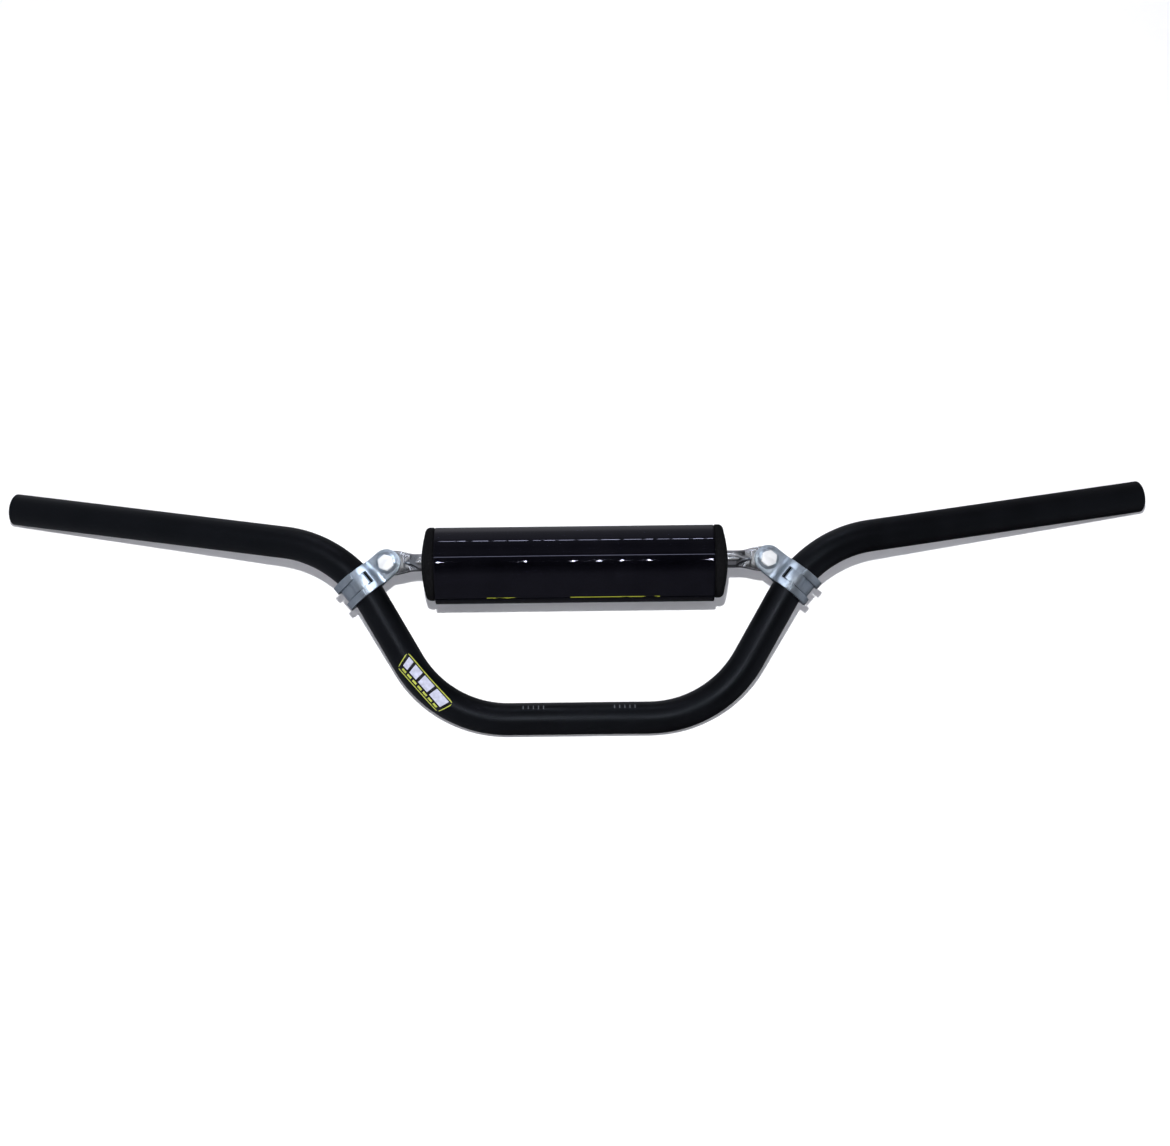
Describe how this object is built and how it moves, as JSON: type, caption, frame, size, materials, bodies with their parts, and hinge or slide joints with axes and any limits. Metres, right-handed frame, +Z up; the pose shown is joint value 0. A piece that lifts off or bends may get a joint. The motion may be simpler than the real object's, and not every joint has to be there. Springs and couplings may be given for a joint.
{
  "type": "motocross handlebar",
  "caption": "Wide bent motocross handlebar with a bolted-on crossbar, a round foam pad in a vinyl cover and stamped steel crossbar clamps.",
  "frame": {"origin": "middle of the clamp zone, on the axis of the straight tube at the bottom of the bar", "axes": "+X along the bar to the viewer's right, +Z up, -Y towards the viewer; the bar ends sweep towards +Y"},
  "size_m": [0.8072, 0.0888, 0.1722],
  "materials": {
    "tube": "black anodised, satin",
    "crossbar": "bright chrome plate on steel",
    "clamp": "blue-white zinc plate on stamped steel",
    "fastener": "bright zinc plate",
    "washer": "zinc plate, spring steel",
    "foam": "matt closed-cell foam",
    "vinyl": "glossy black vinyl sheet",
    "closure": "black hook and loop tape",
    "decal": "glossy printed film with pale lavender bars and a lime border"
  },
  "bodies": {
    "root": {"handlebar_tube": "tube", "crossbar_tube": "crossbar", "clamp_front_left": "clamp", "clamp_front_right": "clamp", "clamp_rear_left": "clamp", "clamp_rear_right": "clamp", "clamp_bolt_left": "fastener", "clamp_bolt_right": "fastener", "clamp_washer_left": "washer", "clamp_washer_right": "washer", "clamp_nut_left": "fastener", "clamp_nut_right": "fastener", "pad_foam": "foam", "pad_cover": "vinyl", "pad_loop_strip": "closure", "pad_hook_strip": "closure", "decal_left": "decal"}
  },
  "joints": []
}
